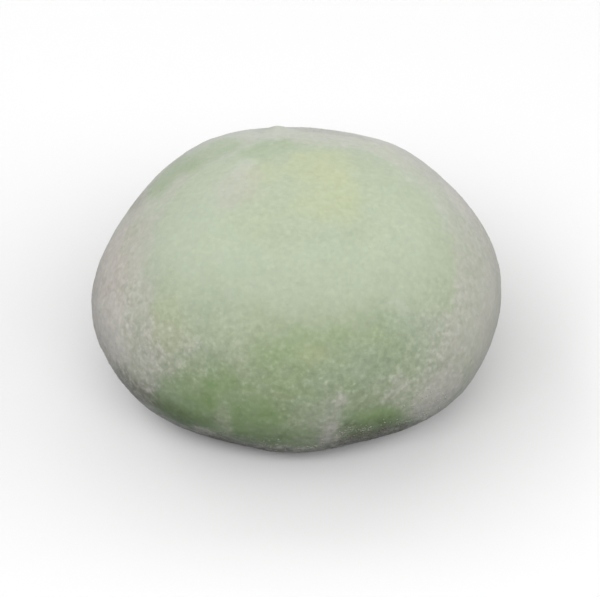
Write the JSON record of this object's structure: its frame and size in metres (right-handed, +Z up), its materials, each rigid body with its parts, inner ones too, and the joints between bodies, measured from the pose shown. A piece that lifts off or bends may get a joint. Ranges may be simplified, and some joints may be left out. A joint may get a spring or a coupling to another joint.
{
  "type": "mochi rice cake",
  "caption": "Hand-formed rice cake: a soft, low green dome dusted with starch, pinched shut and flat underneath.",
  "frame": {"origin": "on the resting plane, in the middle of the outline seen from above", "axes": "+Z up through the crown, +X along the longer width, -Y towards the front"},
  "size_m": [0.0522, 0.048, 0.0304],
  "materials": {
    "dusted_skin": "matte: translucent green rice dough under a thin, uneven coat of white starch"
  },
  "bodies": {
    "root": {"mochi": "dusted_skin"}
  },
  "joints": []
}
